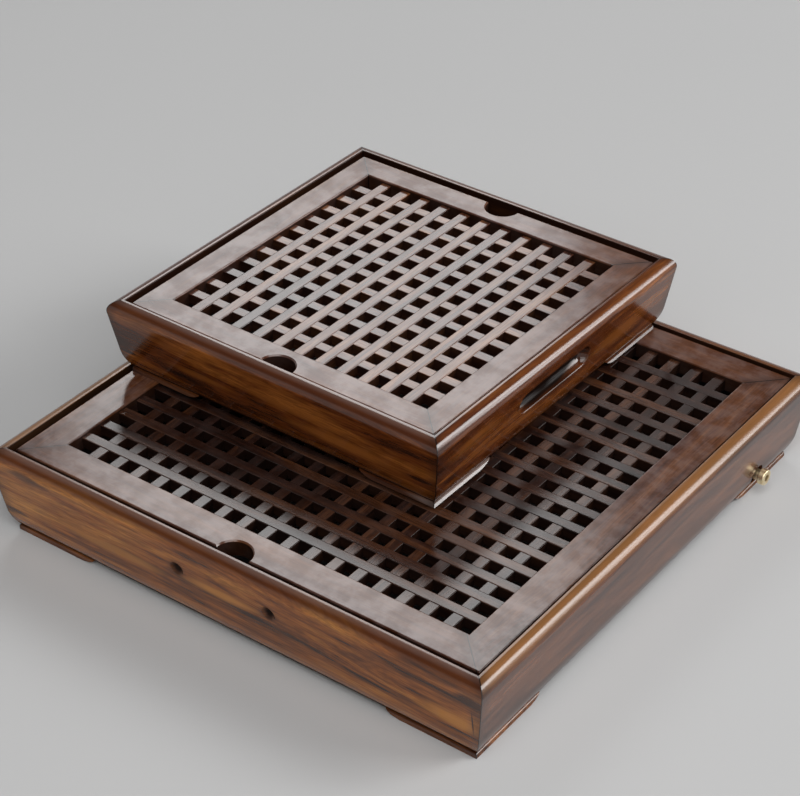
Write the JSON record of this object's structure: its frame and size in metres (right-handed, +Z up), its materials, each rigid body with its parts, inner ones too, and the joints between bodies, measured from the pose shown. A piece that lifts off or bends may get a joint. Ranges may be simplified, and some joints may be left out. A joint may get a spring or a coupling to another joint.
{
  "type": "gongfu tea table",
  "caption": "Gongfu tea table: a small square wooden drain tray standing on a large one, each with leaning walls, a lift-out lattice lid over a water pan, and a brass drain.",
  "frame": {"origin": "on the floor, under the middle of the large tray", "axes": "+Z up, +X towards the wall with the drain, -Y towards the front"},
  "size_m": [0.4025, 0.4011, 0.1251],
  "materials": {
    "large_wall_wood_x": "dark stained hardwood under satin lacquer, grain along X",
    "large_wall_wood_y": "dark stained hardwood under satin lacquer, grain along Y",
    "large_foot_wood": "dark stained hardwood under satin lacquer",
    "panel_wood": "unlacquered board",
    "pan_plastic": "moulded black plastic",
    "screw_steel": "plain zinc-plated steel",
    "drain_brass": "turned brass, lightly dulled",
    "seal_rubber": "soft black rubber",
    "large_rail_wood_x": "dark stained hardwood under satin lacquer, grain along X",
    "large_rail_wood_y": "dark stained hardwood under satin lacquer, grain along Y",
    "large_bar_wood_x": "dark stained hardwood under satin lacquer, grain along X",
    "large_bar_wood_y": "dark stained hardwood under satin lacquer, grain along Y",
    "small_wall_wood_x": "dark stained hardwood under satin lacquer, grain along X",
    "small_wall_wood_y": "dark stained hardwood under satin lacquer, grain along Y",
    "small_foot_wood": "dark stained hardwood under satin lacquer",
    "small_rail_wood_x": "dark stained hardwood under satin lacquer, grain along X",
    "small_rail_wood_y": "dark stained hardwood under satin lacquer, grain along Y",
    "small_bar_wood_y": "dark stained hardwood under satin lacquer, grain along Y",
    "small_bar_wood_x": "dark stained hardwood under satin lacquer, grain along X"
  },
  "bodies": {
    "large_tray": {"large_front_wall": "large_wall_wood_x", "large_right_wall": "large_wall_wood_y", "large_back_wall": "large_wall_wood_x", "large_left_wall": "large_wall_wood_y", "large_front_left_foot": "large_foot_wood", "large_front_right_foot": "large_foot_wood", "large_back_right_foot": "large_foot_wood", "large_back_left_foot": "large_foot_wood", "large_bottom_panel": "panel_wood", "large_water_pan": "pan_plastic", "large_foot_screws": "screw_steel", "large_drain_nozzle": "drain_brass", "large_drain_nut": "drain_brass", "large_drain_washer": "seal_rubber"},
    "large_lid": {"large_lid_front_rail": "large_rail_wood_x", "large_lid_right_rail": "large_rail_wood_y", "large_lid_back_rail": "large_rail_wood_x", "large_lid_left_rail": "large_rail_wood_y", "large_lid_long_bars": "large_bar_wood_x", "large_lid_cross_bars": "large_bar_wood_y"},
    "small_tray": {"small_front_wall": "small_wall_wood_x", "small_right_wall": "small_wall_wood_y", "small_back_wall": "small_wall_wood_x", "small_left_wall": "small_wall_wood_y", "small_front_left_foot": "small_foot_wood", "small_front_right_foot": "small_foot_wood", "small_back_right_foot": "small_foot_wood", "small_back_left_foot": "small_foot_wood", "small_bottom_panel": "panel_wood", "small_water_pan": "pan_plastic", "small_foot_screws": "screw_steel"},
    "small_lid": {"small_lid_front_rail": "small_rail_wood_x", "small_lid_right_rail": "small_rail_wood_y", "small_lid_back_rail": "small_rail_wood_x", "small_lid_left_rail": "small_rail_wood_y", "small_lid_long_bars": "small_bar_wood_y", "small_lid_cross_bars": "small_bar_wood_x"}
  },
  "joints": [
    {"name": "large_lid_lift", "type": "slide", "parent": "large_tray", "child": "large_lid", "axis": [0, 0, 1], "range_m": [0, 0.06]},
    {"name": "small_tray_lift", "type": "slide", "parent": "large_lid", "child": "small_tray", "axis": [0, 0, 1], "range_m": [0, 0.06]},
    {"name": "small_lid_lift", "type": "slide", "parent": "small_tray", "child": "small_lid", "axis": [0, 0, 1], "range_m": [0, 0.06]}
  ]
}
